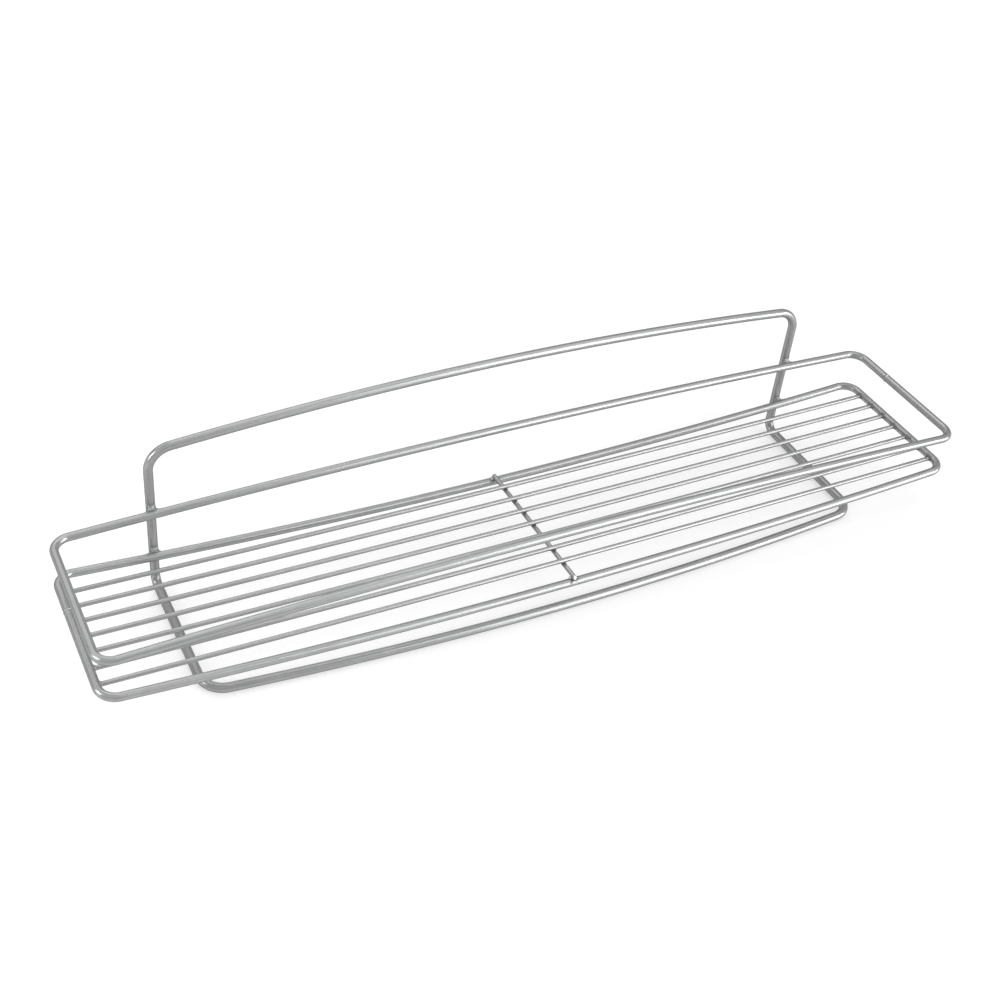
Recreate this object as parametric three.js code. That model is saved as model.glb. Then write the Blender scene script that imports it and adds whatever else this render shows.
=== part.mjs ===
// Bathroom shelf of bent steel wire: eleven wires, welded where they cross or meet.
// Millimetres. X runs along the shelf, +Y points to the wall and +Z is up.
// The origin lies under the middle of the shelf, on the plane that its arms stand on.
import * as THREE from 'three';

// Wire diameters
const FRAME_WIRE = 5.0;
const LOOP_WIRE = 4.5;
const GRID_WIRE = 2.5;

// Space left between two wires that are welded to each other
const WELD_GAP = 0.3;

// Wall frame: one closed loop with two bowed bars, folded into an L
const FRAME_WIDTH = 396;
const FRAME_HEIGHT = 100;
const FRAME_DEPTH = 100;
const FRAME_TOP_BOW = 9.5;
const FRAME_FRONT_BOW = 9.5;
const FRAME_CORNER_RADIUS = 13;
const FRAME_FOLD_RADIUS = 6;

// Guard rim and shelf frame: two loops of one size, bowed up and down
const LOOP_LENGTH = 500;
const LOOP_DEPTH = 94.7;
const LOOP_CORNER_RADIUS = 9;
const RIM_LEVEL = 49.9;
const RIM_RISE = 5.2;
const SHELF_LEVEL = 26.8;
const SHELF_SAG = 8.4;

// Grid: lengthwise wires between the shelf frame's ends, on one cross wire
const GRID_COUNT = 7;
const GRID_REAR_GAP = 13.8;
const GRID_FRONT_GAP = 10.4;
const CROSS_REAR_OVERHANG = 0.5;
const CROSS_FRONT_OVERHANG = 2.2;

// Facets around a wire, and steps along its bends and bows
const LOOP_SIDES = 12;
const GRID_SIDES = 8;
const BEND_STEPS = 7;
const BOW_STEPS = 22;
const GRID_STEPS = 16;

// Satin silver coat
const LOOP_COLOUR = 0xa3a6a6;
const GRID_COLOUR = 0xa9acac;
const COAT_ROUGHNESS = 0.4;
const COAT_METALNESS = 0.7;

// Sizes that follow: the planes that the wires' centre lines lie in
const frameRadius = FRAME_WIRE / 2;
const loopRadius = LOOP_WIRE / 2;
const gridRadius = GRID_WIRE / 2;
const crossReach = Math.max(CROSS_FRONT_OVERHANG - loopRadius, 0);
const partDepth = Math.max(FRAME_DEPTH, FRAME_WIRE + WELD_GAP + LOOP_DEPTH + crossReach);
const uprightY = partDepth / 2 - frameRadius;
const armZ = frameRadius;
const loopRearY = uprightY - frameRadius - WELD_GAP - loopRadius;
const loopHalfLength = (LOOP_LENGTH - LOOP_WIRE) / 2;
const loopHalfDepth = (LOOP_DEPTH - LOOP_WIRE) / 2;
const loopMiddleY = loopRearY - loopHalfDepth;
const crossZ = SHELF_LEVEL - SHELF_SAG + loopRadius + WELD_GAP + gridRadius;
const gridMiddleZ = crossZ + GRID_WIRE + WELD_GAP;
const gridPitch = (2 * loopHalfDepth - GRID_REAR_GAP - GRID_FRONT_GAP) / (GRID_COUNT - 1);

const UP = new THREE.Vector3(0, 0, 1);

// Radius of the arc that rises by bow over half its span
function bowRadius(halfSpan, bow) {
  return (halfSpan ** 2 + bow ** 2) / (2 * bow);
}

// Height of that arc above its ends, below them for a bow under zero
function bowHeight(x, halfSpan, bow) {
  const radius = bowRadius(halfSpan, bow);
  const toChord = Math.sqrt(radius ** 2 - x ** 2);
  return bow - x ** 2 / (radius + Math.sign(radius) * toChord);
}

// Points along a circular arc, both ends included
function arcPoints(centreX, centreY, radius, from, to, steps) {
  const points = [];
  for (let i = 0; i <= steps; i += 1) {
    const angle = from + (to - from) * i / steps;
    const x = centreX + radius * Math.cos(angle);
    const y = centreY + radius * Math.sin(angle);
    points.push(new THREE.Vector2(x, y));
  }
  return points;
}

// Sweeps a round wire along stations, each a point and the direction that one facet faces
function sweepWire(stations, diameter, sides, closed) {
  const count = stations.length;
  const reach = diameter / 2 / Math.cos(Math.PI / sides);
  const positions = [];
  const faces = [];
  stations.forEach(({ point, facing }, i) => {
    const before = stations[closed ? (i + count - 1) % count : Math.max(i - 1, 0)].point;
    const after = stations[closed ? (i + 1) % count : Math.min(i + 1, count - 1)].point;
    const arriving = point.clone().sub(before).normalize();
    const leaving = after.clone().sub(point).normalize();
    const along = arriving.add(leaving).normalize();
    const across = along.clone().cross(facing).normalize();
    const outward = across.clone().cross(along);
    for (let k = 0; k < sides; k += 1) {
      const angle = (k + 0.5) * 2 * Math.PI / sides;
      const corner = point.clone();
      corner.addScaledVector(outward, reach * Math.cos(angle));
      corner.addScaledVector(across, reach * Math.sin(angle));
      positions.push(corner.x, corner.y, corner.z);
    }
  });
  const spans = closed ? count : count - 1;
  for (let i = 0; i < spans; i += 1) {
    const here = i * sides;
    const next = ((i + 1) % count) * sides;
    for (let k = 0; k < sides; k += 1) {
      const turn = (k + 1) % sides;
      faces.push(here + k, here + turn, next + k);
      faces.push(here + turn, next + turn, next + k);
    }
  }
  if (!closed) {
    const last = (count - 1) * sides;
    for (let k = 1; k < sides - 1; k += 1) {
      faces.push(0, k + 1, k);
      faces.push(last, last + k, last + k + 1);
    }
  }
  const geometry = new THREE.BufferGeometry();
  geometry.setAttribute('position', new THREE.Float32BufferAttribute(positions, 3));
  geometry.setIndex(faces);
  geometry.computeVertexNormals();
  return geometry;
}

// Half of the flat wall frame: a bowed bar, reaching to apex, with a bent corner at each end
function bowedBar(apex, bow) {
  const halfWidth = FRAME_WIDTH / 2 - frameRadius;
  const radius = bowRadius(halfWidth, bow);
  const cornerX = halfWidth - FRAME_CORNER_RADIUS;
  const toCorner = radius - FRAME_CORNER_RADIUS;
  const cornerY = apex - radius + Math.sqrt(toCorner ** 2 - cornerX ** 2);
  const tilt = Math.acos(cornerX / toCorner);
  const right = arcPoints(cornerX, cornerY, FRAME_CORNER_RADIUS, 0, tilt, BEND_STEPS);
  const bar = arcPoints(0, apex - radius, radius, tilt, Math.PI - tilt, BOW_STEPS);
  const left = right.map((p) => new THREE.Vector2(-p.x, p.y)).reverse();
  return [...right, ...bar.slice(1, -1), ...left];
}

// Folds a point of the flat loop round the bend between arm and upright
function foldStation(flat) {
  const half = FRAME_FOLD_RADIUS * Math.PI / 4;
  const bend = THREE.MathUtils.clamp((flat.y + half) / FRAME_FOLD_RADIUS, 0, Math.PI / 2);
  const up = Math.max(flat.y - half, 0);
  const forward = Math.max(-half - flat.y, 0);
  const y = uprightY - FRAME_FOLD_RADIUS * (1 - Math.sin(bend)) - forward;
  const z = armZ + FRAME_FOLD_RADIUS * (1 - Math.cos(bend)) + up;
  const facing = new THREE.Vector3(0, -Math.sin(bend), Math.cos(bend));
  return { point: new THREE.Vector3(flat.x, y, z), facing };
}

function wallFrame() {
  const halfFold = FRAME_FOLD_RADIUS * Math.PI / 4;
  const toFold = halfFold - FRAME_FOLD_RADIUS;
  const top = bowedBar(FRAME_HEIGHT - FRAME_WIRE + toFold, FRAME_TOP_BOW);
  const front = bowedBar(FRAME_DEPTH - FRAME_WIRE + toFold, FRAME_FRONT_BOW);
  const frontTurned = front.map((p) => new THREE.Vector2(-p.x, -p.y));
  const halfWidth = FRAME_WIDTH / 2 - frameRadius;
  const rightFold = [];
  for (let i = 0; i <= BEND_STEPS; i += 1) {
    rightFold.push(new THREE.Vector2(halfWidth, halfFold * (2 * i / BEND_STEPS - 1)));
  }
  const leftFold = rightFold.map((p) => new THREE.Vector2(-p.x, -p.y));
  const flat = [...rightFold, ...top, ...leftFold, ...frontTurned];
  return sweepWire(flat.map(foldStation), FRAME_WIRE, LOOP_SIDES, true);
}

// A loop with bent corners, its ends at level and its long bars bowed by height(x)
function wireLoop(level, height) {
  const cornerX = loopHalfLength - LOOP_CORNER_RADIUS;
  const cornerY = loopHalfDepth - LOOP_CORNER_RADIUS;
  const quarter = arcPoints(cornerX, cornerY, LOOP_CORNER_RADIUS, 0, Math.PI / 2, BEND_STEPS);
  const rear = [...quarter];
  for (let i = 1; i < BOW_STEPS; i += 1) {
    rear.push(new THREE.Vector2(cornerX * (1 - 2 * i / BOW_STEPS), loopHalfDepth));
  }
  rear.push(...quarter.map((p) => new THREE.Vector2(-p.x, p.y)).reverse());
  const front = rear.map((p) => new THREE.Vector2(-p.x, -p.y));
  const stations = [...rear, ...front].map((p) => ({
    point: new THREE.Vector3(p.x, loopMiddleY + p.y, level + height(p.x)),
    facing: UP,
  }));
  return sweepWire(stations, LOOP_WIRE, LOOP_SIDES, true);
}

function guardRim() {
  return wireLoop(RIM_LEVEL, (x) => bowHeight(x, loopHalfLength, RIM_RISE));
}

function shelfFrame() {
  return wireLoop(SHELF_LEVEL, (x) => -bowHeight(x, loopHalfLength, SHELF_SAG));
}

// Half length of a grid wire at y: it ends against the inside of the shelf frame
function gridHalfLength(y) {
  const cornerX = loopHalfLength - LOOP_CORNER_RADIUS;
  const cornerY = loopHalfDepth - LOOP_CORNER_RADIUS;
  const intoCorner = Math.max(Math.abs(y - loopMiddleY) + gridRadius - cornerY, 0);
  const inside = LOOP_CORNER_RADIUS - loopRadius - WELD_GAP;
  return cornerX + Math.sqrt(inside ** 2 - intoCorner ** 2);
}

// A lengthwise wire: level with the shelf frame at its ends, on the cross wire in the middle
function gridWire(y) {
  const halfLength = gridHalfLength(y);
  const sag = SHELF_LEVEL - gridMiddleZ;
  const stations = [];
  for (let i = 0; i <= GRID_STEPS; i += 1) {
    const x = halfLength * (2 * i / GRID_STEPS - 1);
    const z = SHELF_LEVEL - bowHeight(x, halfLength, sag);
    stations.push({ point: new THREE.Vector3(x, y, z), facing: UP });
  }
  return sweepWire(stations, GRID_WIRE, GRID_SIDES, false);
}

// The cross wire: straight, on both long bars of the shelf frame and under the grid
function crossWire() {
  const front = -loopHalfDepth - CROSS_FRONT_OVERHANG;
  const rear = loopHalfDepth + CROSS_REAR_OVERHANG;
  const stations = [front, rear].map((y) => ({
    point: new THREE.Vector3(0, loopMiddleY + y, crossZ),
    facing: UP,
  }));
  return sweepWire(stations, GRID_WIRE, GRID_SIDES, false);
}

function addPiece(group, name, geometry, color) {
  const material = new THREE.MeshStandardMaterial({ color });
  material.roughness = COAT_ROUGHNESS;
  material.metalness = COAT_METALNESS;
  const mesh = new THREE.Mesh(geometry, material);
  mesh.name = name;
  group.add(mesh);
}

const shelf = new THREE.Group();
addPiece(shelf, 'wall_frame', wallFrame(), LOOP_COLOUR);
addPiece(shelf, 'guard_rim', guardRim(), LOOP_COLOUR);
addPiece(shelf, 'shelf_frame', shelfFrame(), LOOP_COLOUR);
for (let i = 0; i < GRID_COUNT; i += 1) {
  const y = loopRearY - GRID_REAR_GAP - i * gridPitch;
  addPiece(shelf, `grid_wire_${i + 1}`, gridWire(y), GRID_COLOUR);
}
addPiece(shelf, 'cross_wire', crossWire(), GRID_COLOUR);

export default shelf;
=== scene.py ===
import math

import bpy
import numpy as np
from mathutils import Euler, Matrix, Vector, noise


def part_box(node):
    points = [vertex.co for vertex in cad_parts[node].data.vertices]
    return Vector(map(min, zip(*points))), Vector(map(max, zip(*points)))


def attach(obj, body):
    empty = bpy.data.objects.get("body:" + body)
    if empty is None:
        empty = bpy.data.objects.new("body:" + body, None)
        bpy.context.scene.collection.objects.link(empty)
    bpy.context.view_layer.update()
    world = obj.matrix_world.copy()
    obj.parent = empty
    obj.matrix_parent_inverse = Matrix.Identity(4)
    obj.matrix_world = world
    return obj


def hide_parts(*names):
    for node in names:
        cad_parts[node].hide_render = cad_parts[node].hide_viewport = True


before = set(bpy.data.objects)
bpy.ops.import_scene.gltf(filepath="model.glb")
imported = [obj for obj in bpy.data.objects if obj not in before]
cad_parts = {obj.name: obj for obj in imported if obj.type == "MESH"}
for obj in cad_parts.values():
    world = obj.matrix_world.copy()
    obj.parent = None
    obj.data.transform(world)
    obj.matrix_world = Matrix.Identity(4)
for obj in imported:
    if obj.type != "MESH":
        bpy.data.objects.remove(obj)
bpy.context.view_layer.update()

MM = 0.001
X = Vector((1, 0, 0))
Y = Vector((0, 1, 0))
Z = Vector((0, 0, 1))
GRID_NODES = sorted(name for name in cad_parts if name.startswith("grid_wire_"))

# The two loops, and whether their long bars arch up or sag
ARCHED = {"guard_rim": True, "shelf_frame": False}

# Wires
FRAME_WIRE = 5.0 * MM
LOOP_WIRE = 4.5 * MM
FRAME_BOW = 9.5 * MM
FRAME_CORNER_RADIUS = 13.0 * MM
FRAME_FOLD_RADIUS = 6.0 * MM
LOOP_CORNER_RADIUS = 9.0 * MM
GRID_END_ROUNDING = 0.30 * MM
CROSS_END_ROUNDING = 0.55 * MM

# Mesh of the wires: sides around, longest steps along straights and bends, steps round the edge of a cut end
LOOP_SIDES = 32
GRID_SIDES = 24
STRAIGHT_STEP = 4.0 * MM
BEND_STEP = 0.5 * MM
END_STEPS = 6

# Butt weld of each loop: side of the shelf, and place along the side bar
SEAMS = {"guard_rim": (1, 13.6 * MM), "shelf_frame": (-1, 15.0 * MM)}

# Rings at a butt weld: a ridge of flash, coloured lighter as a painted highlight, and a thin dark ring of
# painted shade beside it; how uneven they are, and their mesh
FLASH_RADIUS = 0.24 * MM
SHADE_RING_RADIUS = 0.18 * MM
SHADE_RING_OFFSET = 0.55 * MM
RING_UNEVENNESS = 0.35
RING_LUMPS = 2
RING_SEED_SCALE = 100
RING_STEPS = 48
RING_SIDES = 10

# The cross wire's front end lies a little to the right, and is cut at a slant
CROSS_SKEW = 1.9 * MM
CUT_SLOPE = 0.70
CUT_LENGTH = 4.0 * MM

# Welds: how far the two wires flow into each other, how deep the weld lies in them, and how lumpy it is
UPRIGHT_BLEND = 3.4 * MM
BAR_BLEND = 1.3 * MM
GRID_BLEND = 1.2 * MM
END_BLEND = 1.2 * MM
WELD_SINK = 0.30 * MM
WELD_LUMPS = 0.16 * MM
LUMP_SIZE = 1.1 * MM
LUMP_SCALE = UPRIGHT_BLEND / LUMP_SIZE
WELD_SEED_STEPS = (7.3, 3.1, 0)

# Mesh of the welds: rays from the contact, samples along each, and the lengths of wire that they meet
WELD_SIDES = 40
WELD_RINGS = 24
WELD_REACH = 6.0 * MM
WELD_SAMPLES = 120
ROD_LENGTH = 40.0 * MM
STUB_STEPS = 4

# Drops squeezed out at the welds of the cross wire: in front of each grid wire, and on both long bars
GRID_DROP = 0.62 * MM
GRID_DROP_AHEAD = 0.75 * MM
GRID_DROP_LEAN = Vector((0.3, 0, 0.954))
BAR_DROP = 0.85 * MM
BAR_DROP_ASIDE = 0.4 * MM
BAR_DROP_LIFT = 0.3 * MM
FRONT_DROP_INSET = 0.7 * MM
REAR_DROP_INSET = 1.2 * MM
DROP_FLATNESS = 0.7
DROP_UNEVENNESS = 0.3
DROP_LUMPS = 1.5
DROP_SEED_STEP = 5.7
DROP_RINGS = 12
DROP_SIDES = 20

# Coat
COAT_COLOUR = (0.355, 0.361, 0.358)
# Weld tone a little darker than the coat: partly the weld's own colour, partly painted shade in the corners
# of the fillets
WELD_AND_SHADE_COLOUR = (0.31, 0.315, 0.313)
# Painted shade: a dark colour laid where shade falls, on the crossing welds, the right grid-end welds and
# the thin ring beside each butt weld
PAINTED_SHADE_COLOUR = (0.18, 0.18, 0.18)
# Painted highlight: a light colour on the seam flash and the squeezed drops, standing in for their glints
PAINTED_HIGHLIGHT_COLOUR = (0.58, 0.58, 0.57)
COAT_METAL = 0.60
COAT_SPECULAR = 0.15
COAT_ROUGHNESS = 0.26
WELD_ROUGHNESS = 0.48
EDGE_TINT = (0.15, 0.15, 0.15)

# How far tone and gloss change: in clouds all over the wire, and in streaks along it
COAT_CHANGE = 0.22
WELD_CHANGE = 0.40
GLOSS_CHANGE = 0.06
CLOUD_SCALE = 60.0
CLOUD_DETAIL = 4.0
STREAK_WIDTH = 0.6 * MM
STREAK_LENGTH = 40.0 * MM
STREAK_SCALE = 1.0
STREAK_DETAIL = 3.0
STREAK_SHARE = 0.6

# Relief: streaks, and grain with its fineness and height
STREAK_DEPTH = 0.006 * MM
STREAK_STRENGTH = 0.5
COAT_GRAIN = (2600.0, 0.02 * MM)
WELD_GRAIN = (1400.0, 0.05 * MM)
GRAIN_DETAIL = 3.0
GRAIN_STRENGTH = 0.25

# Camera, turned by degrees
CAMERA_PLACE = (-0.33797, -0.53505, 0.55453)
CAMERA_TURN = (52.310, -3.841, -25.119)
CAMERA_LENS = 54.443
CAMERA_SENSOR = 36.0
CAMERA_SHIFT = (0.05028, -0.05284)
CAMERA_CLIP = (0.01, 100.0)

# Light: a plain grey room and soft boxes, at degrees seen from the shelf.
# Azimuths run from the front (0) to the right (90). Half angles are across and up.
SKY_LEVEL = 0.40
SOFT_BOXES = {
    "front_low": dict(azimuth=46, elevation=12, distance=3.0, half_angles=(24, 12), radiance=6.4),
    "front_high": dict(azimuth=34, elevation=38, distance=3.0, half_angles=(12, 12), radiance=3.8),
    "top": dict(azimuth=90, elevation=69, distance=3.0, half_angles=(19, 21), radiance=1.1),
    "back": dict(azimuth=-166, elevation=44, distance=3.0, half_angles=(30, 18), radiance=0.9),
    "back_low": dict(azimuth=166, elevation=8, distance=3.0, half_angles=(12, 8), radiance=2.0),
    "back_high": dict(azimuth=168, elevation=60, distance=3.0, half_angles=(11, 6), radiance=2.4),
    "left": dict(azimuth=-94, elevation=24, distance=0.9, half_angles=(9, 10), radiance=7.6),
    "left_top": dict(azimuth=-70, elevation=48, distance=0.7, half_angles=(34, 34), radiance=0.35),
}

# Floor: its own white, near the shelf and far off, and the distances between which it grows
FLOOR_COLOUR = (0.50, 0.50, 0.50)
FLOOR_ROUGHNESS = 0.35
FLOOR_SIZE = 40.0
FLOOR_GLOW = (0.51, 0.85)
GLOW_REACH = (0.20, 3.0)


def arc(centre, start, end, steps):
    """Points on the circle round centre from start to end, two arms at most half a turn apart."""
    axis = start.cross(end).normalized()
    angle = start.angle(end)
    return [centre + Matrix.Rotation(angle * i / steps, 3, axis) @ start for i in range(steps + 1)]


def bend_steps(radius):
    """How many steps a bend of a quarter turn takes."""
    return math.ceil(radius * math.pi / 2 / BEND_STEP)


def straight(start, end):
    """Points between start and end, without the two."""
    steps = math.ceil((end - start).length / STRAIGHT_STEP)
    return [start.lerp(end, i / steps) for i in range(1, steps)]


def bow_radius(half_span, bow):
    """Radius of the circular arc that rises by bow over its ends."""
    return (half_span ** 2 + bow ** 2) / (2 * bow)


def bow_height(x, half_span, bow):
    """Height at x of the circular arc that rises by bow over its ends."""
    radius = bow_radius(half_span, bow)
    return math.sqrt(radius ** 2 - x ** 2) - radius + bow


def parallel_frames(path, closed):
    """Directions up and across the wire at each point, carried along it without twist."""
    count = len(path)
    along = []
    for i, point in enumerate(path):
        before = path[i - 1] if closed or i > 0 else point
        after = path[(i + 1) % count] if closed or i < count - 1 else point
        arriving = (point - before).normalized()
        leaving = (after - point).normalized()
        along.append((arriving + leaving).normalized())
    up = [along[0].orthogonal().normalized()]
    for i in range(1, count):
        turn = along[i - 1].rotation_difference(along[i])
        up.append((turn @ up[-1]).normalized())
    if closed:
        last = along[-1].rotation_difference(along[0]) @ up[-1]
        twist = math.atan2(up[0].cross(last).dot(along[0]), up[0].dot(last))
        for i in range(count):
            up[i] = Matrix.Rotation(-twist * i / count, 3, along[i]) @ up[i]
    return [(u, a.cross(u)) for a, u in zip(along, up)]


def new_object(name, vertices, faces, material):
    """A smooth-shaded mesh object in the scene."""
    mesh = bpy.data.meshes.new(name)
    mesh.from_pydata(vertices, [], faces)
    mesh.validate()
    mesh.shade_smooth()
    mesh.materials.append(material)
    piece = bpy.data.objects.new(name, mesh)
    bpy.context.scene.collection.objects.link(piece)
    return piece


def join_shells(name, shells, material):
    """One piece made of several closed shells."""
    vertices, faces = [], []
    for shell_vertices, shell_faces in shells:
        start = len(vertices)
        vertices += shell_vertices
        faces += [tuple(start + i for i in face) for face in shell_faces]
    return new_object(name, vertices, faces, material)


def finish_piece(piece, *nodes):
    """Carries the piece on the part and hides the nodes that it stands for."""
    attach(piece, "root")
    if nodes:
        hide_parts(*nodes)


def ring_faces(rings, sides, closed):
    """Quads between rings of vertices, one after another."""
    faces = []
    for i in range(rings if closed else rings - 1):
        here = i * sides
        there = (i + 1) % rings * sides
        for k in range(sides):
            turn = (k + 1) % sides
            faces.append((here + k, here + turn, there + turn, there + k))
    return faces


def ball_ways(normal, rings, sides, flatness=1.0):
    """Ways from a ball's middle to its top, its rings and its bottom, flattened along normal."""
    side = normal.orthogonal().normalized()
    other = normal.cross(side)
    ways = [normal * flatness]
    for i in range(1, rings):
        tilt = math.pi * i / rings
        for k in range(sides):
            turn = 2 * math.pi * k / sides
            flat = math.cos(turn) * side + math.sin(turn) * other
            ways.append(math.cos(tilt) * flatness * normal + math.sin(tilt) * flat)
    ways.append(-normal * flatness)
    return ways


def ball_faces(rings, sides):
    """Faces of a closed shell: a top point, rings of vertices and a bottom point."""
    faces = [tuple(i + 1 for i in face) for face in ring_faces(rings - 1, sides, False)]
    bottom = (rings - 1) * sides + 1
    last = bottom - sides
    for k in range(sides):
        turn = (k + 1) % sides
        faces.append((0, 1 + turn, 1 + k))
        faces.append((bottom, last + k, last + turn))
    return [tuple(reversed(face)) for face in faces]


def wire(name, path, radii, sides, closed, material):
    """A round wire along path, with its radius at each point, and where each vertex lies along the draw."""
    runs = [0.0]
    for before, after in zip(path, path[1:]):
        runs.append(runs[-1] + (after - before).length)
    if closed:
        runs = [min(run, runs[-1] - run) for run in runs]
    vertices, draw = [], []
    for point, radius, run, (up, across) in zip(path, radii, runs, parallel_frames(path, closed)):
        for k in range(sides):
            angle = 2 * math.pi * k / sides
            rise = radius * math.cos(angle)
            turn = radius * math.sin(angle)
            vertices.append(point + rise * up + turn * across)
            draw += (rise, turn, run)
    faces = ring_faces(len(path), sides, closed)
    if not closed:
        last = (len(path) - 1) * sides
        faces.append(tuple(reversed(range(sides))))
        faces.append(tuple(range(last, last + sides)))
    piece = new_object(name, vertices, faces, material)
    piece.data.attributes.new("draw", "FLOAT_VECTOR", "POINT").data.foreach_set("vector", draw)
    return piece


def open_wire(name, path, radius, rounding, material):
    """A cut length of wire, with the edges of its ends rounded."""
    start = (path[0] - path[1]).normalized()
    end = (path[-1] - path[-2]).normalized()
    turns = [math.pi / 2 * i / END_STEPS for i in range(END_STEPS + 1)]
    insets = [rounding * (1 - math.sin(turn)) for turn in turns]
    shrunk = [radius - rounding * (1 - math.cos(turn)) for turn in turns]
    tail = [path[-1] - end * inset for inset in insets]
    nose = [path[0] - start * inset for inset in reversed(insets)]
    points = nose + path[1:-1] + tail
    radii = shrunk[::-1] + [radius] * (len(path) - 2) + shrunk
    return wire(name, points, radii, GRID_SIDES, False, material)


def flat_bar(apex, half_width):
    """The bowed bar of the flat wall frame, with its bent corners, from right to left."""
    radius = bow_radius(half_width, FRAME_BOW)
    centre = Vector((0, apex - radius, 0))
    corner_x = half_width - FRAME_CORNER_RADIUS
    to_corner = radius - FRAME_CORNER_RADIUS
    corner = centre + Vector((corner_x, math.sqrt(to_corner ** 2 - corner_x ** 2), 0))
    outward = (corner - centre).normalized()
    side = Vector((FRAME_CORNER_RADIUS, 0, 0))
    bend = arc(corner, side, outward * FRAME_CORNER_RADIUS, bend_steps(FRAME_CORNER_RADIUS))
    mirrored = Vector((-outward.x, outward.y, 0))
    steps = math.ceil(2 * half_width / STRAIGHT_STEP)
    bar = arc(centre, outward * radius, mirrored * radius, steps)
    return bend + bar[1:-1] + [Vector((-p.x, p.y, 0)) for p in reversed(bend)]


def wall_frame_path():
    """One closed loop: right fold, upright and top bar, left fold, arm and front bar."""
    low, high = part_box("wall_frame")
    radius = FRAME_WIRE / 2
    half_width = high.x - radius
    upright_y = high.y - radius
    arm_z = low.z + radius
    top = [Vector((p.x, upright_y, p.y)) for p in flat_bar(high.z - radius, half_width)]
    reach = -(low.y + radius)
    front = [Vector((-p.x, -p.y, arm_z)) for p in flat_bar(reach, half_width)]
    fold_y = upright_y - FRAME_FOLD_RADIUS
    fold_z = arm_z + FRAME_FOLD_RADIUS
    steps = bend_steps(FRAME_FOLD_RADIUS)
    down = Vector((0, 0, -FRAME_FOLD_RADIUS))
    back = Vector((0, FRAME_FOLD_RADIUS, 0))
    right_fold = arc(Vector((half_width, fold_y, fold_z)), down, back, steps)
    left_fold = arc(Vector((-half_width, fold_y, fold_z)), back, down, steps)
    return (
        right_fold + straight(right_fold[-1], top[0]) + top
        + straight(top[-1], left_fold[0]) + left_fold
        + straight(left_fold[-1], front[0]) + front
        + straight(front[-1], right_fold[0])
    )


def loop_half_length(node):
    """How far a loop's side bars lie from the middle of the shelf."""
    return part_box(node)[1].x - LOOP_WIRE / 2


def long_bars_y(node):
    """Where a loop's front and rear bars lie."""
    low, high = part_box(node)
    return low.y + LOOP_WIRE / 2, high.y - LOOP_WIRE / 2


def loop_levels(node):
    """Height of a loop's side bars, and of the middle of its long bars."""
    low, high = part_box(node)
    bottom = low.z + LOOP_WIRE / 2
    top = high.z - LOOP_WIRE / 2
    return (bottom, top) if ARCHED[node] else (top, bottom)


def loop_height(node):
    """A function that gives the height of a loop's long bars at x."""
    ends, middle = loop_levels(node)
    bow = middle - ends
    half_length = loop_half_length(node)
    return lambda x: ends + math.copysign(bow_height(x, half_length, abs(bow)), bow)


def loop_path(node):
    """A closed loop with bent corners and bowed long bars."""
    front, rear = long_bars_y(node)
    corner_x = loop_half_length(node) - LOOP_CORNER_RADIUS
    steps = bend_steps(LOOP_CORNER_RADIUS)
    corners = []
    for side, depth in ((1, 1), (-1, 1), (-1, -1), (1, -1)):
        corner_y = rear - LOOP_CORNER_RADIUS if depth > 0 else front + LOOP_CORNER_RADIUS
        first = Vector((LOOP_CORNER_RADIUS * side, 0, 0))
        second = Vector((0, LOOP_CORNER_RADIUS * depth, 0))
        if side != depth:
            first, second = second, first
        corners.append(arc(Vector((corner_x * side, corner_y, 0)), first, second, steps))
    flat = []
    for corner, following in zip(corners, corners[1:] + corners[:1]):
        flat += corner + straight(corner[-1], following[0])
    height = loop_height(node)
    return [Vector((p.x, p.y, height(p.x))) for p in flat]


def grid_path(node):
    """A lengthwise wire, from end to end and sagging onto the cross wire, and its radius."""
    low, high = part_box(node)
    radius = (high.y - low.y) / 2
    ends = high.z - radius
    sag = (high.z - low.z) - 2 * radius
    middle_y = (low.y + high.y) / 2
    steps = math.ceil((high.x - low.x) / STRAIGHT_STEP)
    path = []
    for i in range(steps + 1):
        x = low.x + (high.x - low.x) * i / steps
        path.append(Vector((x, middle_y, ends - bow_height(x, high.x, sag))))
    return path, radius


def cross_x(y):
    """Where the slightly skewed cross wire lies at y."""
    low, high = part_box("cross_wire")
    return CROSS_SKEW * (high.y - y) / (high.y - low.y)


def cross_path():
    """The cross wire, from front to rear, and its radius."""
    low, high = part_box("cross_wire")
    radius = (high.x - low.x) / 2
    z = (low.z + high.z) / 2
    start = Vector((cross_x(low.y), low.y, z))
    end = Vector((cross_x(high.y), high.y, z))
    return [start] + straight(start, end) + [end], radius


def slant_cut(piece):
    """Leans the front end face of the cross wire back, so that it faces up."""
    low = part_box("cross_wire")[0]
    for vertex in piece.data.vertices:
        near = max(0, 1 - (vertex.co.y - low.y) / CUT_LENGTH)
        vertex.co.y += near * CUT_SLOPE * (vertex.co.z - low.z)


def make_wall_frame(coat):
    """The heaviest wire: uprights, arms and two bowed bars."""
    path = wall_frame_path()
    piece = wire("coated_wall_frame", path, [FRAME_WIRE / 2] * len(path), LOOP_SIDES, True, coat)
    finish_piece(piece, "wall_frame")


def make_loop(node, coat):
    """The guard rim or the shelf frame."""
    path = loop_path(node)
    piece = wire("coated_" + node, path, [LOOP_WIRE / 2] * len(path), LOOP_SIDES, True, coat)
    finish_piece(piece, node)


def make_grid_wire(node, coat):
    """One of the thin lengthwise wires."""
    path, radius = grid_path(node)
    finish_piece(open_wire("coated_" + node, path, radius, GRID_END_ROUNDING, coat), node)


def make_cross_wire(coat):
    """The thin wire across the middle, with its slanted cut."""
    path, radius = cross_path()
    piece = open_wire("coated_cross_wire", path, radius, CROSS_END_ROUNDING, coat)
    slant_cut(piece)
    finish_piece(piece, "cross_wire")


def short_rod(middle, direction, radius):
    """A straight length of wire: its two ends and its radius."""
    half = direction * ROD_LENGTH / 2
    return middle - half, middle + half, radius


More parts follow.
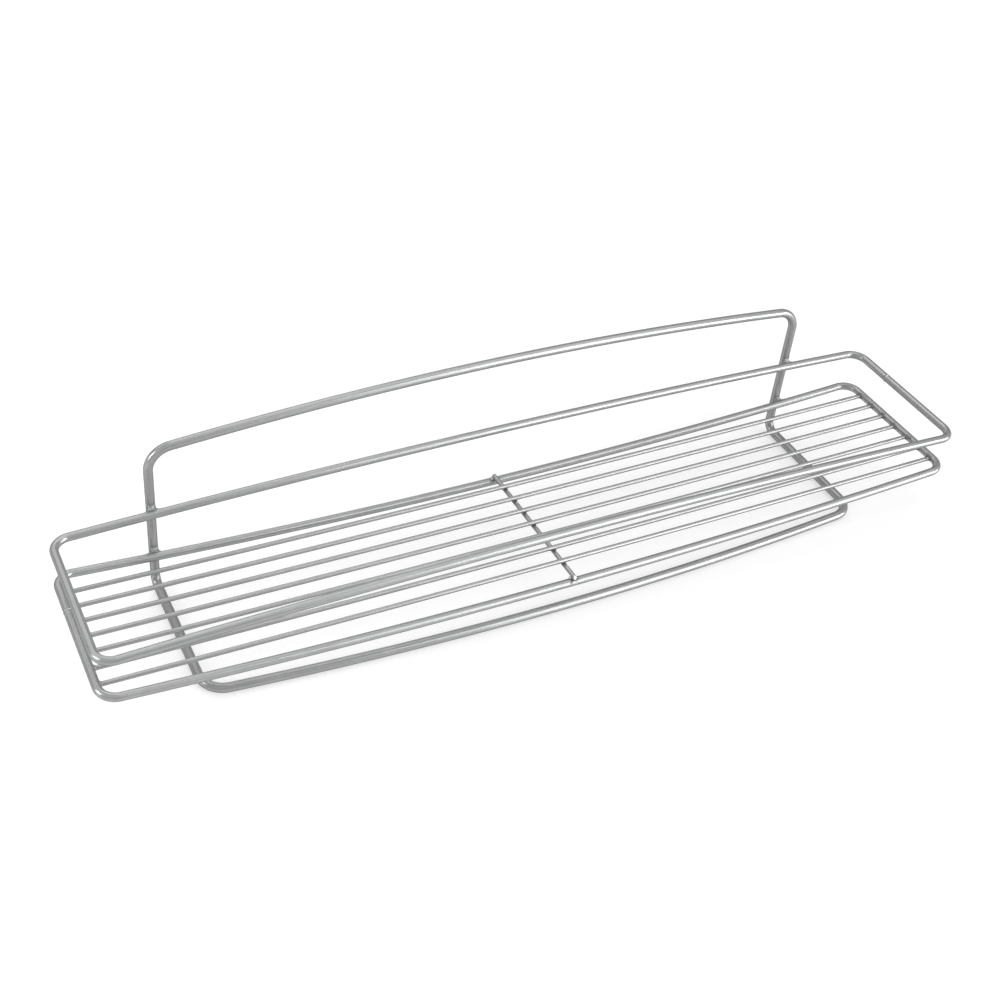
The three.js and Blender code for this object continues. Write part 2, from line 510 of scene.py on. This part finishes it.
def rod_distance(points, rod):
    """Distance from points to the skin of a straight length of wire, negative inside."""
    start, end, radius = rod
    length = (end - start).length
    direction = np.array((end - start) / length)
    offset = points - np.array(start)
    along = offset @ direction
    radial = np.linalg.norm(offset - along[..., None] * direction, axis=-1) - radius
    axial = abs(along - length / 2) - length / 2
    outside = np.hypot(np.maximum(radial, 0), np.maximum(axial, 0))
    return outside + np.minimum(np.maximum(radial, axial), 0)


def blended(first, second, blend):
    """Distance to two wires that flow into each other, from the distances to each."""
    share = np.clip(0.5 + 0.5 * (second - first) / blend, 0, 1)
    return second + (first - second) * share - blend * share * (1 - share)


def first_crossing(values, steps):
    """Where each row of values first rises above zero, read between the steps."""
    above = values > 0
    stop = np.where(above.any(axis=1), above.argmax(axis=1), len(steps) - 1)
    before = np.maximum(stop - 1, 0)
    rows = np.arange(len(values))
    rise = values[rows, stop] - values[rows, before]
    part = np.clip(-values[rows, before] / np.where(rise > 0, rise, 1), 0, 1)
    return steps[before] + part * (steps[stop] - steps[before])


def weld(contact, normal, rods, blend, seed):
    """A closed, lumpy fillet round contact, where two wires flow into each other, sunk into both."""
    ways = ball_ways(normal, WELD_RINGS, WELD_SIDES)
    steps = np.linspace(0, WELD_REACH, WELD_SAMPLES)
    points = np.array(contact) + np.array(ways)[:, None] * steps[None, :, None]
    first, second = (rod_distance(points, rod) for rod in rods)
    place = Vector([seed * step for step in WELD_SEED_STEPS])
    lumps = [noise.noise(way * LUMP_SCALE + place) for way in ways]
    skin = blended(first, second, blend) + WELD_LUMPS * np.array(lumps)[:, None]
    deep = -WELD_SINK - np.minimum(first, second)
    reach = first_crossing(np.maximum(skin, deep), steps)
    vertices = [contact + way * r for way, r in zip(ways, reach.tolist())]
    return vertices, ball_faces(WELD_RINGS, WELD_SIDES)


def upright_welds(skin):
    """Four welds that hold the two loops on the uprights."""
    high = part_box("wall_frame")[1]
    loop_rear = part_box("guard_rim")[1].y
    gap = high.y - FRAME_WIRE - loop_rear
    shells = []
    for side in (-1, 1):
        x = side * (high.x - FRAME_WIRE / 2)
        for node in ARCHED:
            height = loop_height(node)
            contact = Vector((x, loop_rear + gap / 2, height(x)))
            along = Vector((2 * MM, 0, height(x + MM) - height(x - MM))).normalized()
            bar = short_rod(contact - Y * (gap / 2 + LOOP_WIRE / 2), along, LOOP_WIRE / 2)
            upright = short_rod(contact + Y * (gap / 2 + FRAME_WIRE / 2), Z, FRAME_WIRE / 2)
            shells.append(weld(contact, Y, (bar, upright), UPRIGHT_BLEND, len(shells)))
    finish_piece(join_shells("upright_welds", shells, skin))


def crossing_welds(skin):
    """Welds of the cross wire: under each grid wire, and on both long bars."""
    low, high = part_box("cross_wire")
    path, radius = cross_path()
    cross = (path[0], path[-1], radius)
    shells = []
    for node in GRID_NODES:
        grid_low, grid_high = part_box(node)
        y = (grid_low.y + grid_high.y) / 2
        gap = grid_low.z - high.z
        contact = Vector((cross_x(y), y, high.z + gap / 2))
        grid = short_rod(contact + Z * (gap / 2 + radius), X, radius)
        shells.append(weld(contact, Z, (cross, grid), GRID_BLEND, len(shells)))
    bar_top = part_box("shelf_frame")[0].z + LOOP_WIRE
    gap = low.z - bar_top
    for y in long_bars_y("shelf_frame"):
        contact = Vector((cross_x(y), y, bar_top + gap / 2))
        bar = short_rod(contact - Z * (gap / 2 + LOOP_WIRE / 2), X, LOOP_WIRE / 2)
        shells.append(weld(contact, Z, (bar, cross), BAR_BLEND, len(shells)))
    finish_piece(join_shells("crossing_welds", shells, skin))


def grid_end_welds(name, outward, skin):
    """A fillet round each grid wire's end on one side of the shelf, onto the side bar."""
    half_length = loop_half_length("shelf_frame")
    shells = []
    for node in GRID_NODES:
        path, radius = grid_path(node)
        if outward.x > 0:
            path.reverse()
        end, inner = path[0], path[STUB_STEPS]
        bar = short_rod(Vector((half_length * outward.x, end.y, end.z)), Y, LOOP_WIRE / 2)
        gap = half_length - LOOP_WIRE / 2 - abs(end.x)
        contact = end + outward * gap / 2
        shells.append(weld(contact, outward, ((inner, end, radius), bar), END_BLEND, len(shells)))
    finish_piece(join_shells(name, shells, skin))


def drop(place, normal, size, seed):
    """A flat, uneven drop of metal on the skin of a wire."""
    top, *ways, bottom = ball_ways(normal, DROP_RINGS, DROP_SIDES, DROP_FLATNESS)
    vertices = [place + top * size]
    for way in ways:
        lump = noise.noise(way * DROP_LUMPS + X * seed * DROP_SEED_STEP)
        vertices.append(place + way * size * (1 + DROP_UNEVENNESS * lump))
    vertices.append(place + bottom * size)
    return vertices, ball_faces(DROP_RINGS, DROP_SIDES)


def squeezed_drops(skin):
    """Drops in front of the grid's crossings, and on the left of the wire on both long bars."""
    low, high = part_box("cross_wire")
    radius = (high.x - low.x) / 2
    middle_z = (low.z + high.z) / 2
    shells = []
    for node in GRID_NODES:
        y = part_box(node)[0].y - GRID_DROP_AHEAD
        place = Vector((cross_x(y), y, middle_z)) + GRID_DROP_LEAN * radius
        shells.append(drop(place, GRID_DROP_LEAN, GRID_DROP, len(shells)))
    front, rear = long_bars_y("shelf_frame")
    for y in (front + FRONT_DROP_INSET, rear - REAR_DROP_INSET):
        place = Vector((cross_x(y) - radius - BAR_DROP_ASIDE, y, low.z + BAR_DROP_LIFT))
        shells.append(drop(place, Z, BAR_DROP, len(shells)))
    finish_piece(join_shells("squeezed_drops", shells, skin))


def seam_ring(name, centre, radius, skin):
    """An uneven ring of metal round a side bar. Its place on the shelf picks the lumps."""
    spokes = [Matrix.Rotation(2 * math.pi * i / RING_STEPS, 3, "Y") @ X for i in range(RING_STEPS)]
    path = [centre + spoke * LOOP_WIRE / 2 for spoke in spokes]
    lumps = [noise.noise(spoke * RING_LUMPS + centre * RING_SEED_SCALE) for spoke in spokes]
    radii = [radius * (1 + RING_UNEVENNESS * lump) for lump in lumps]
    finish_piece(wire(name, path, radii, RING_SIDES, True, skin))


def butt_welds(flash, scale):
    """Flash, coloured lighter as a painted highlight, and a thin dark ring of painted shade, where the two
    ends of each loop meet.
    """
    for node, (side, y) in SEAMS.items():
        centre = Vector((side * loop_half_length(node), y, loop_levels(node)[0]))
        # The flash ring is coloured lighter: a painted highlight
        seam_ring(node + "_flash", centre, FLASH_RADIUS, flash)
        # The thin dark ring beside the flash is painted shade; scale carries its dark material
        seam_ring(node + "_scale", centre + Y * SHADE_RING_OFFSET, SHADE_RING_RADIUS, scale)


def node_of(tree, kind, **settings):
    """A new shader node with the given settings."""
    node = tree.nodes.new(kind)
    for key, value in settings.items():
        setattr(node, key, value)
    return node


def noise_of(tree, place, scale, detail):
    """Noise read at place."""
    texture = node_of(tree, "ShaderNodeTexNoise")
    texture.inputs["Scale"].default_value = scale
    texture.inputs["Detail"].default_value = detail
    tree.links.new(place, texture.inputs["Vector"])
    return texture.outputs["Fac"]


def bump_of(tree, height, strength, distance):
    """A bump node for the given height."""
    bump = node_of(tree, "ShaderNodeBump")
    bump.inputs["Strength"].default_value = strength
    bump.inputs["Distance"].default_value = distance
    tree.links.new(height, bump.inputs["Height"])
    return bump


def greater_of(tree, first, second):
    """The greater of two values."""
    greater = node_of(tree, "ShaderNodeMath", operation="MAXIMUM")
    tree.links.new(first, greater.inputs[0])
    tree.links.new(second, greater.inputs[1])
    return greater.outputs["Value"]


def drawn_streaks(tree):
    """Noise stretched along the drawn wire."""
    draw = node_of(tree, "ShaderNodeAttribute", attribute_name="draw")
    stretch = node_of(tree, "ShaderNodeVectorMath", operation="MULTIPLY")
    stretch.inputs[1].default_value = (1 / STREAK_WIDTH, 1 / STREAK_WIDTH, 1 / STREAK_LENGTH)
    tree.links.new(draw.outputs["Vector"], stretch.inputs[0])
    return noise_of(tree, stretch.outputs["Vector"], STREAK_SCALE, STREAK_DETAIL)


def coat_material(name, colour, roughness, change, grain):
    """Satin silver coat: fine grain, slow changes of tone and gloss, and streaks along the drawn wire."""
    material = bpy.data.materials.new(name)
    material.use_nodes = True
    tree = material.node_tree
    link = tree.links.new
    shader = tree.nodes["Principled BSDF"]
    shader.inputs["Metallic"].default_value = COAT_METAL
    shader.inputs["Specular Tint"].default_value = (*EDGE_TINT, 1)
    shader.inputs["Specular IOR Level"].default_value = COAT_SPECULAR

    place = node_of(tree, "ShaderNodeTexCoord").outputs["Object"]
    streaks = drawn_streaks(tree)
    both = node_of(tree, "ShaderNodeMix", data_type="FLOAT")
    both.inputs["Factor"].default_value = STREAK_SHARE
    link(noise_of(tree, place, CLOUD_SCALE, CLOUD_DETAIL), both.inputs["A"])
    link(streaks, both.inputs["B"])

    tone = node_of(tree, "ShaderNodeMix", data_type="RGBA")
    tone.inputs["A"].default_value = (*(c * (1 - change) for c in colour), 1)
    tone.inputs["B"].default_value = (*(c * (1 + change) for c in colour), 1)
    link(both.outputs["Result"], tone.inputs["Factor"])
    link(tone.outputs["Result"], shader.inputs["Base Color"])

    gloss = node_of(tree, "ShaderNodeMapRange")
    gloss.inputs["To Min"].default_value = roughness - GLOSS_CHANGE
    gloss.inputs["To Max"].default_value = roughness + GLOSS_CHANGE
    link(both.outputs["Result"], gloss.inputs["Value"])
    link(gloss.outputs["Result"], shader.inputs["Roughness"])

    fineness, grain_height = grain
    fine = noise_of(tree, place, fineness, GRAIN_DETAIL)
    lines = bump_of(tree, streaks, STREAK_STRENGTH, STREAK_DEPTH)
    bumps = bump_of(tree, fine, GRAIN_STRENGTH, grain_height)
    link(lines.outputs["Normal"], bumps.inputs["Normal"])
    link(bumps.outputs["Normal"], shader.inputs["Normal"])
    return material


def floor_material():
    """A pale floor that gives off white of its own, to the eye and in reflections only."""
    material = bpy.data.materials.new("pale_floor")
    material.use_nodes = True
    tree = material.node_tree
    link = tree.links.new
    shader = tree.nodes["Principled BSDF"]
    shader.inputs["Base Color"].default_value = (*FLOOR_COLOUR, 1)
    shader.inputs["Roughness"].default_value = FLOOR_ROUGHNESS
    shader.inputs["Emission Color"].default_value = (1, 1, 1, 1)

    place = node_of(tree, "ShaderNodeTexCoord")
    away = node_of(tree, "ShaderNodeVectorMath", operation="LENGTH")
    link(place.outputs["Object"], away.inputs[0])
    rise = node_of(tree, "ShaderNodeMapRange", interpolation_type="SMOOTHSTEP")
    rise.inputs["From Min"].default_value, rise.inputs["From Max"].default_value = GLOW_REACH
    rise.inputs["To Min"].default_value, rise.inputs["To Max"].default_value = FLOOR_GLOW
    link(away.outputs["Value"], rise.inputs["Value"])

    rays = node_of(tree, "ShaderNodeLightPath").outputs
    bounced = greater_of(tree, rays["Is Glossy Ray"], rays["Is Transmission Ray"])
    glow = node_of(tree, "ShaderNodeMath", operation="MULTIPLY")
    link(greater_of(tree, rays["Is Camera Ray"], bounced), glow.inputs[0])
    link(rise.outputs["Result"], glow.inputs[1])
    link(glow.outputs["Value"], shader.inputs["Emission Strength"])
    return material


def make_floor():
    """A wide floor that the shelf stands on."""
    half = FLOOR_SIZE / 2
    corners = [(-half, -half, 0), (half, -half, 0), (half, half, 0), (-half, half, 0)]
    floor = new_object("floor", corners, [(0, 1, 2, 3)], floor_material())


def make_sky():
    """A plain grey room all round."""
    world = bpy.data.worlds.new("studio")
    world.use_nodes = True
    background = world.node_tree.nodes["Background"]
    background.inputs["Color"].default_value = (1, 1, 1, 1)
    background.inputs["Strength"].default_value = SKY_LEVEL
    bpy.context.scene.world = world


def make_soft_box(name, azimuth, elevation, distance, half_angles, radiance):
    """A soft box seen from the shelf at the given angles."""
    lamp = bpy.data.lights.new(name, "AREA")
    lamp.shape = "RECTANGLE"
    lamp.size, lamp.size_y = (2 * distance * math.tan(math.radians(a)) for a in half_angles)
    lamp.energy = radiance * math.pi * lamp.size * lamp.size_y
    turn = math.radians(azimuth)
    rise = math.radians(elevation)
    towards = Vector((math.sin(turn) * math.cos(rise), -math.cos(turn) * math.cos(rise), math.sin(rise)))
    box = bpy.data.objects.new(name, lamp)
    box.location = towards * distance
    box.rotation_euler = towards.to_track_quat("Z", "Y").to_euler()
    box.visible_camera = False
    bpy.context.scene.collection.objects.link(box)


def make_camera():
    """The photograph's camera."""
    camera = bpy.data.cameras.new("camera")
    camera.lens = CAMERA_LENS
    camera.sensor_width = CAMERA_SENSOR
    camera.shift_x, camera.shift_y = CAMERA_SHIFT
    camera.clip_start, camera.clip_end = CAMERA_CLIP
    holder = bpy.data.objects.new("camera", camera)
    holder.location = CAMERA_PLACE
    holder.rotation_euler = Euler([math.radians(a) for a in CAMERA_TURN], "XYZ")
    bpy.context.scene.collection.objects.link(holder)
    bpy.context.scene.camera = holder


make_camera()
make_sky()
for name, settings in SOFT_BOXES.items():
    make_soft_box(name, **settings)
make_floor()
silver = coat_material("silver_coat", COAT_COLOUR, COAT_ROUGHNESS, COAT_CHANGE, COAT_GRAIN)
# Weld material, darker than the coat: partly painted shade in the fillet corners
weld_and_shade_skin = coat_material("weld_coat_and_shade", WELD_AND_SHADE_COLOUR, WELD_ROUGHNESS, WELD_CHANGE, WELD_GRAIN)
# Dark material that paints shade at welds
painted_shade_skin = coat_material("weld_scale", PAINTED_SHADE_COLOUR, WELD_ROUGHNESS, WELD_CHANGE, WELD_GRAIN)
# Light material that paints highlights on the seam flash and the drops
painted_highlight_skin = coat_material("weld_painted_highlight", PAINTED_HIGHLIGHT_COLOUR, WELD_ROUGHNESS, COAT_CHANGE, WELD_GRAIN)
make_wall_frame(silver)
for node in ARCHED:
    make_loop(node, silver)
for node in GRID_NODES:
    make_grid_wire(node, silver)
make_cross_wire(silver)
upright_welds(weld_and_shade_skin)
# The crossing welds get the dark material: painted shade in the creases where the wires meet
crossing_welds(painted_shade_skin)
grid_end_welds("left_grid_welds", -X, weld_and_shade_skin)
# The right grid-end welds get the dark material: painted shade on the shaded right side; the left ones keep
# the weld colour
grid_end_welds("right_grid_welds", X, painted_shade_skin)
# The squeezed drops get the light material: a painted highlight on each drop
squeezed_drops(painted_highlight_skin)
butt_welds(painted_highlight_skin, painted_shade_skin)
bpy.context.scene.view_settings.view_transform = "Standard"

bpy.context.view_layer.update()
